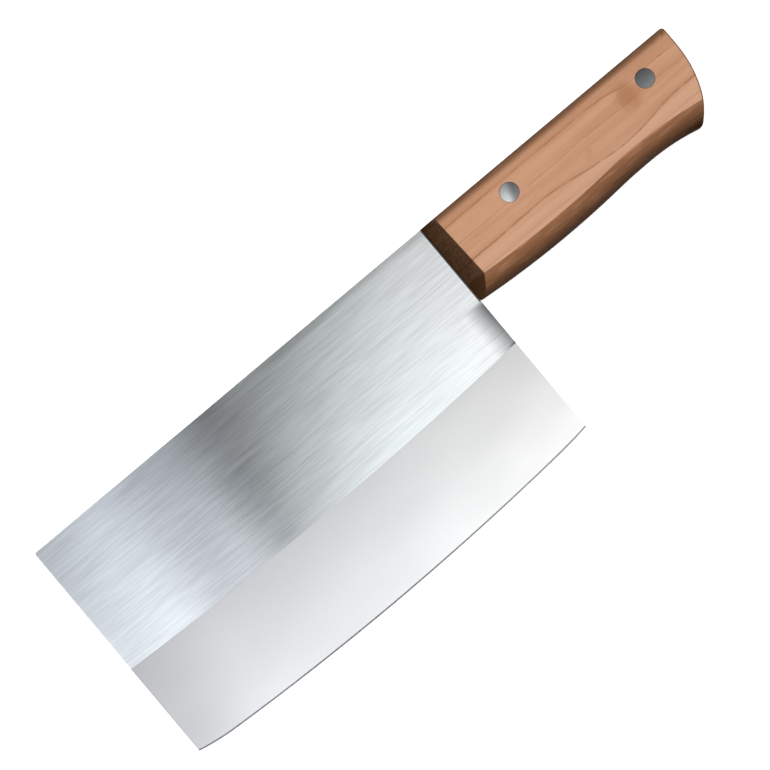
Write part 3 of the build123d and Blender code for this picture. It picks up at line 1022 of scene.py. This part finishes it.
# painted shade on the handle's bevels, and on the front bevel painted shade with the end grain's darker tone
handleShades = {                          # each comes on over a range, in millimetres or shares
    "bellyBevelShade": (-0.05, 0.25),           # below the belly bevel's upper edge
    "backBevelShade": (-0.1, 0.3),              # above the back bevel's lower edge
    "buttBevelShade": (-0.6, -0.2),             # out towards the butt
    "front": (0.0, 0.3),                  # below the faces that the front bevel cuts
    "frontShadeAndEndGrain": (0.88, 0.05, 6.0),       # strength, and how much more of it this far below
    "steelLine": (-1.0, -0.2),            # towards the steel
    "bellyPaintedShade": ((0.08, 1.12), 0.97),    # shares of the way down the belly bevel, strength
    "rearPaintedShade": ((78, 106), (0.0, 0.4), 0.25),            # along the handle, shares of the way down, strength
    "backPaintedShades": (((-3.3, -2.3), 0.36), ((-0.8, 0.0), 0.4)),              # up to the back, strength
    "buttPaintedShade": ((-0.5, 0.0), 0.8),
}


# a shade that comes on evenly over a range, up to its strength
def comeOn(value, reach, strength):
    return ease(value, *reach) * strength


# how far each point lies into the bevels, and how dark it is painted: the most of painted shade with the end
# grain's darker tone on the front bevel, a darker strip beside the steel, and painted shade down the belly
# bevel, along the back and round the butt
def shadeHandle(piece):
    x, y, z = localPoints(piece).T
    belly = bevelEdge(x) - y
    down = belly / np.maximum(bevelEdge(x) - bellyY(x), 1)
    back = y + handle["backBevel"][0]
    butt = buttDistance(x, y)
    uncut = np.minimum(np.minimum(bellyHalf(x, y), underRounding(y - bellyY(x))), halfHandle)
    front = uncut - frontHalf(x, y)
    onFront = ease(front, *handleShades["front"])
    strength, more, deep = handleShades["frontShadeAndEndGrain"]
    alongRear, downRear, rearStrength = handleShades["rearPaintedShade"]
    # painted shade on the belly, back and butt bevels
    bevel = np.maximum.reduce([
        ease(belly, *handleShades["bellyBevelShade"]),
        ease(back, *handleShades["backBevelShade"]),
        ease(-butt, *handleShades["buttBevelShade"]),
    ])
    # painted shade with the end grain's darker tone on the front bevel, a darker strip beside the steel,
    # painted shade elsewhere
    shadeAndEndGrain = np.maximum.reduce([
        onFront * (strength + more * ease(front, 0, deep)),
        onFront * ease(-x, *handleShades["steelLine"]),
        comeOn(down, *handleShades["bellyPaintedShade"]) + ease(x, *alongRear) * comeOn(down, downRear, rearStrength),
        sum(comeOn(y, *shade) for shade in handleShades["backPaintedShades"]),
        comeOn(-butt, *handleShades["buttPaintedShade"]),
    ])
    paintNumber(piece, "bevel", np.clip(bevel, 0, 1))
    paintNumber(piece, "shadeAndEndGrain", np.clip(shadeAndEndGrain, 0, 1))


rivetPlaces = [
    ((low.x + high.x) / 2 * metre - home[0], (low.y + high.y) / 2 * metre - home[1])
    for low, high in (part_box("front_rivet_post"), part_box("rear_rivet_post"))
]


# a round cutter for a rivet's seat, or for its bore
def makeSeat(centre, radius, floor, top):
    return turnProfile("seat", [(0, floor), (radius, floor), (radius, top), (0, top)], centre, steps=64)


seatRadius = rivet["headRadius"] + rivet["seatClearance"]
tangReach, woodReach = rivet["boreReaches"]
cutAway(tangPiece, [makeSeat(centre, rivet["boreRadius"], -tangReach, tangReach) for centre in rivetPlaces])
handlePiece = makeHandle()
slotFront, slotTop = -tang["slotOverrun"], tang["slotOverrun"]
slotCutter = makeTang("slot", tangHalf + tang["clearance"], tang["endClearance"], slotFront, slotTop)
seats = [
    makeSeat(centre, seatRadius, *sorted(side * height for height in rivet["seatHeights"]))
    for centre in rivetPlaces for side in (1, -1)
]
bores = [makeSeat(centre, rivet["boreRadius"], -woodReach, woodReach) for centre in rivetPlaces]
cutAway(handlePiece, [slotCutter, *seats, *bores])
shadeHandle(handlePiece)
handlePiece.data.materials.append(handleFinish)
print("cleaver: handle made")


# outline of half a rivet: a crown that falls with the square of the radius, a soft rim, then what it carries
def rivetProfile(carried, side):
    radius, soft = rivet["headRadius"], rivet["rimSoftness"]
    crown, crownShare = rivet["crown"]
    crownPoints, rimPoints = rivet["profilePoints"]
    top = halfHandle - rivet["sink"]
    head = [(radius * crownShare * s, top - crown * s * s) for s in np.linspace(0, 1, crownPoints)]
    turn = np.linspace(0, math.pi / 2, rimPoints)
    rim = [(radius - soft + soft * math.sin(a), top - crown - soft + soft * math.cos(a)) for a in turn]
    under = (radius, top - rivet["headThickness"])
    return [(r, side * z) for r, z in [*head, *rim, under, *carried]]


# half a rivet, as long as its node: a post carries a pointed shank, and a cap a sleeve with a blind bore
def makeRivet(name, centre, low, high, isCap):
    bottom, top = low.z * metre - home[2], high.z * metre - home[2]
    side = 1 if abs(top) > abs(bottom) else -1
    end = bottom if side > 0 else -top
    under = halfHandle - rivet["sink"] - rivet["headThickness"]
    if isCap:
        outside, inside = rivet["sleeveRadii"]
        floor = halfHandle - rivet["sleeveFloor"]
        carried = [(outside, under), (outside, end), (inside, end), (inside, floor), (0, floor)]
    else:
        shank = rivet["shankRadius"]
        point, length = rivet["shankPoint"]
        carried = [(shank, under), (shank, end + length), (point, end), (0, end)]
    piece = turnProfile(name, rivetProfile(carried, side), centre)
    piece.data.materials.append(rivetFinish)
    return piece


pieces = [
    (bladePiece, "blade", "blade_steel"),
    (tangPiece, "blade", "blade_steel"),
    (handlePiece, "handle", "handle_wood"),
]
for centre, end in zip(rivetPlaces, ("front", "rear")):
    for part in ("post", "cap"):
        node = f"{end}_rivet_{part}"
        pieceName = end + "Rivet" + part.capitalize()
        pieces.append((makeRivet(pieceName, centre, *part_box(node), part == "cap"), node, "rivet_steel"))
for piece, node, slot in pieces:
    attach(piece, "root")
    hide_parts(node)
print("cleaver: rivets made")

studio = {
    "camera": (-44.2, -33.35),            # what the picture's middle looks at, in the knife's millimetres
    "turn": -39.985,                      # degrees that the knife lies across the picture
    "pictureWidth": 0.267,
    "lens": 300.0,
    "sensor": 36.0,
    "ambient": (0.26, 0.55),              # of the white room, on matt surfaces and mirrored
    "softbox": (7.0, 0.9),                # radiance and side of the lamp that lights the wood
    "softboxPlace": (0.0, 0.25, 1.5),
    "floorReach": 3.0,
    "floorDrop": 0.0002,                  # below the handle
    "floorColour": (0.9, 0.9, 0.9, 1),
    "floorRoughness": 0.9,
    "floorGlow": 0.7,                     # to the camera, in mirrors and through glass
}

# a level of the panel is a number, or a ramp: its axis, start and end, and the level at each
mirrored = {
    "height": 120.0,                      # above the steel
    "reach": 400.0,                       # to each side
    "brightness": 1.25,
    "lean": -0.35,                        # of the leaning axis: x plus this much of y
    "levels": (                           # multiplied: dim over the tip, the handle and the spine
        ("x", -181, -158, ("y", -45, -15, 0.88, 0.70), 1.05),
        ("leaning", 20, 56, 1.0, ("y", -85, -60, 1.0, 0.24)),
        ("y", 45, -75, 0.39, 1.355),
        ("x", -150, -60, ("y", -62, -50, 0.95, 1.0), 0.94),
        ("y", -72, -88, 1.0, 0.955),
        ("x", -120, 0, 1.0, ("y", -80, -105, 1.0, 1.18)),
        ("y", -94, -108, 1.0, 1.74),
        ("y", -135, -155, 1.0, 0.3),
    ),
    "bands": (                            # dark: middle, reach, share at full depth, levels of the depth
        (("y", -50, -5, -108, -96), 13.5, 0.2, (("y", -45, -30, 1.0, 0.80), ("y", -76, -54, 0.0, 1.0))),
        (("y", -55, 10, -104, -80), ("y", -60, 10, 48, 80), 0.1, (("y", -75, 5, 0.28, 0.79),)),
        (-138, 16, 0.2, (("y", -10, -45, 0.0, 0.60), ("y", -90, -60, 0.0, 1.0))),
    ),
    "whiteTint": (1.0, 1.0, 1.01, 1),     # over the handle
    "greenTint": (0.965, 1.0, 1.0, 1),    # over the blade
    "greenLevel": ("x", 0, -45, 0.0, 1.0),
    "coolTint": (0.942, 0.975, 1.075, 1),                 # over the tip
    "coolLevels": (("x", -70, -115, 0.0, 1.0), ("y", -60, -20, 0.5, 1.0)),
}


# looks straight down at the knife, from so far that the sensor takes in the picture's width
def placeCamera():
    data = bpy.data.cameras.new("camera")
    data.lens, data.sensor_width = studio["lens"], studio["sensor"]
    distance = studio["pictureWidth"] * studio["lens"] / studio["sensor"]
    camera = addObject("camera", data)
    camera.location = (*(home[:2] + studio["camera"]) / metre, home[2] / metre + distance)
    camera.rotation_euler = (0, 0, math.radians(studio["turn"]))
    bpy.context.scene.camera = camera


# the softbox, turned to the knife: its power is its radiance times pi times its area
def hangSoftbox():
    radiance, side = studio["softbox"]
    data = bpy.data.lights.new("overhead", "AREA")
    data.shape, data.size, data.size_y = "RECTANGLE", side, side
    data.energy = radiance * math.pi * side * side
    lamp = addObject("overhead", data)
    lamp.location = studio["softboxPlace"]
    aim = -Vector(studio["softboxPlace"])
    lamp.rotation_euler = aim.to_track_quat("-Z", "Y").to_euler()
    lamp.visible_camera = lamp.visible_glossy = False


# corners of a level square that reaches as far to each side
def squareCorners(reach, height):
    return [(x * reach, y * reach, height) for x, y in ((-1, -1), (1, -1), (1, 1), (-1, 1))]


# a level of the panel: a number as it is, or the even ramp that its five values describe
def panelLevel(tree, axes, level):
    if not isinstance(level, tuple):
        return level
    axis, start, end, first, last = level
    first, last = panelLevel(tree, axes, first), panelLevel(tree, axes, last)
    return rampNode(tree, axes[axis], start, end, first, last)


# the studio panel that the steel mirrors: its brightness times all its levels, less three soft dark bands;
# it is only mirrored, so it lights and hides nothing
def hangMirroredPanel():
    material, tree, shader = newMaterial("mirroredPanel")
    x, y, z = axesOf(tree, knifePlace(tree))
    axes = {"x": x, "y": y, "leaning": mathNode(tree, "MULTIPLY_ADD", y, mirrored["lean"], x)}
    levels = [panelLevel(tree, axes, level) for level in mirrored["levels"]]
    level = product(tree, mirrored["brightness"], *levels)
    for middle, reach, core, depths in mirrored["bands"]:
        middle, reach = panelLevel(tree, axes, middle), panelLevel(tree, axes, reach)
        away = mathNode(tree, "ABSOLUTE", mathNode(tree, "SUBTRACT", x, middle))
        band = rampNode(tree, mathNode(tree, "DIVIDE", away, reach), core, 1.0, 1.0, 0.0)
        dark = product(tree, band, *(panelLevel(tree, axes, depth) for depth in depths))
        level = product(tree, level, mathNode(tree, "SUBTRACT", 1.0, dark))
    green = panelLevel(tree, axes, mirrored["greenLevel"])
    cool = product(tree, *(panelLevel(tree, axes, level) for level in mirrored["coolLevels"]))
    colour = mixColour(tree, green, mirrored["whiteTint"], mirrored["greenTint"])
    colour = mixColour(tree, cool, colour, mirrored["coolTint"])
    emission = addNode(tree, "ShaderNodeEmission", {"Color": colour, "Strength": level})
    tree.links.new(emission.outputs[0], tree.nodes["Material Output"].inputs["Surface"])
    panel = addPiece("mirroredPanel", squareCorners(mirrored["reach"], mirrored["height"]), [(0, 1, 2, 3)])
    panel.data.materials.append(material)
    panel.visible_camera = panel.visible_diffuse = panel.visible_shadow = panel.visible_transmission = False


# a white room: white to the camera, and dimmer on matt surfaces and in mirrors
def lightRoom():
    world = bpy.data.worlds.new("studio")
    world.use_nodes = True
    tree = world.node_tree
    bpy.context.scene.world = world
    tree.nodes["Background"].inputs[0].default_value = (1, 1, 1, 1)
    path = addNode(tree, "ShaderNodeLightPath")
    matt, glossy = studio["ambient"]
    strength = mathNode(tree, "MULTIPLY_ADD", path.outputs["Is Glossy Ray"], glossy - matt, matt)
    strength = mathNode(tree, "MAXIMUM", strength, path.outputs["Is Camera Ray"])
    tree.links.new(strength, tree.nodes["Background"].inputs[1])


# a pale floor that keeps the shadow, with a glow that only the camera, mirrors and glass see
def layFloor():
    mesh = bpy.data.meshes.new("floor")
    mesh.from_pydata(squareCorners(studio["floorReach"], 0), [], [(0, 1, 2, 3)])
    floor = addObject("floor", mesh)
    floor.location.z = handleLow.z - studio["floorDrop"]
    material, tree, shader = newMaterial("whiteFloor")
    shader.inputs["Base Color"].default_value = studio["floorColour"]
    shader.inputs["Roughness"].default_value = studio["floorRoughness"]
    path = addNode(tree, "ShaderNodeLightPath")
    seen = mathNode(tree, "MAXIMUM", path.outputs["Is Camera Ray"], path.outputs["Is Glossy Ray"])
    seen = mathNode(tree, "MAXIMUM", seen, path.outputs["Is Transmission Ray"])
    shader.inputs["Emission Color"].default_value = (1, 1, 1, 1)
    tree.links.new(product(tree, seen, studio["floorGlow"]), shader.inputs["Emission Strength"])
    mesh.materials.append(material)


placeCamera()
lightRoom()
layFloor()
hangMirroredPanel()
hangSoftbox()
bpy.context.scene.view_settings.view_transform = "Standard"
print("cleaver: studio ready")
